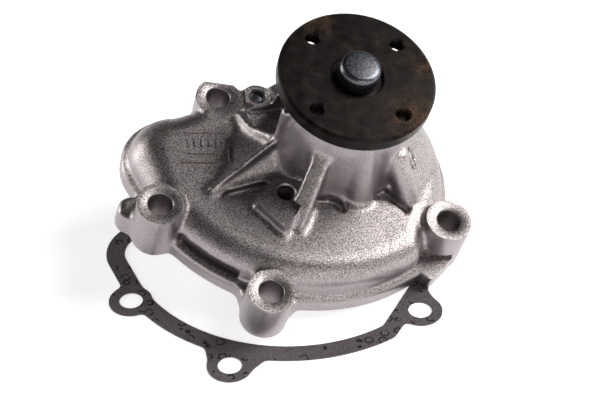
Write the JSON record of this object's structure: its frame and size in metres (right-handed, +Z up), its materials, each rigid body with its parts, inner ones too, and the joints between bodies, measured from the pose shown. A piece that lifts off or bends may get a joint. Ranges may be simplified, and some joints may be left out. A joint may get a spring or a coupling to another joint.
{
  "type": "automotive water pump",
  "caption": "Cast scroll-housing water pump with a round pulley hub flange on its shaft, an impeller beneath, and its loose paper gasket.",
  "frame": {"origin": "middle of the bottom of the set's box, on the floor under the leaning pump and its gasket", "axes": "+Z up from the floor; the viewer's side is -Y, +X to the viewer's right; the shaft axis leans 21.3 degrees from +Z towards the front right"},
  "size_m": [0.1426, 0.1448, 0.0908],
  "materials": {
    "cast_aluminium": "shot-blasted casting, satin, with machined faces",
    "black_oxide_steel": "black-oxide turned steel with light rust bloom",
    "bearing_steel": "ground and polished bearing steel",
    "cast_iron": "sand-cast grey iron with machined hub",
    "stainless_steel": "pressed stainless sheet and wire",
    "black_rubber": "moulded nitrile rubber, matt",
    "carbon": "lapped carbon-graphite, dull",
    "white_ceramic": "lapped alumina ceramic",
    "cage_nylon": "glass-filled nylon moulding, natural",
    "gasket_paper": null
  },
  "bodies": {
    "pump_body": {"housing": "cast_aluminium", "bore_plug": "bearing_steel", "bearing_outer_ring": "bearing_steel", "bearing_seal_upper": "black_rubber", "bearing_seal_lower": "black_rubber", "seal_cup": "stainless_steel", "seal_bellows": "black_rubber", "seal_spring": "stainless_steel", "seal_carbon_ring": "carbon", "gasket": "gasket_paper"},
    "rotor": {"pump_shaft": "bearing_steel", "hub_flange": "black_oxide_steel", "slinger": "black_rubber", "seal_seat_ring": "white_ceramic", "seal_seat_boot": "black_rubber", "impeller": "cast_iron"},
    "ball_set": {"ball_cage": "cage_nylon", "ball_1": "bearing_steel", "ball_2": "bearing_steel", "ball_3": "bearing_steel", "ball_4": "bearing_steel", "ball_5": "bearing_steel", "ball_6": "bearing_steel", "ball_7": "bearing_steel", "ball_8": "bearing_steel"},
    "roller_set": {"roller_cage": "cage_nylon", "roller_1": "bearing_steel", "roller_2": "bearing_steel", "roller_3": "bearing_steel", "roller_4": "bearing_steel", "roller_5": "bearing_steel", "roller_6": "bearing_steel", "roller_7": "bearing_steel", "roller_8": "bearing_steel", "roller_9": "bearing_steel", "roller_10": "bearing_steel", "roller_11": "bearing_steel", "roller_12": "bearing_steel"}
  },
  "joints": [
    {"name": "rotor_spin", "type": "hinge", "parent": "pump_body", "child": "rotor", "pos_m": [0.01594, 0.02632, 0.0235], "axis": [0.1825, -0.3147, 0.9315], "continuous": true},
    {"name": "ball_set_spin", "type": "hinge", "parent": "pump_body", "child": "ball_set", "pos_m": [0.01594, 0.02632, 0.0235], "axis": [0.1825, -0.3147, 0.9315], "continuous": true},
    {"name": "roller_set_spin", "type": "hinge", "parent": "pump_body", "child": "roller_set", "pos_m": [0.01594, 0.02632, 0.0235], "axis": [0.1825, -0.3147, 0.9315], "continuous": true}
  ],
  "couplings": [
    {"joint": "ball_set_spin", "follows": "rotor_spin", "ratio": 0.3706},
    {"joint": "roller_set_spin", "follows": "rotor_spin", "ratio": 0.403}
  ]
}
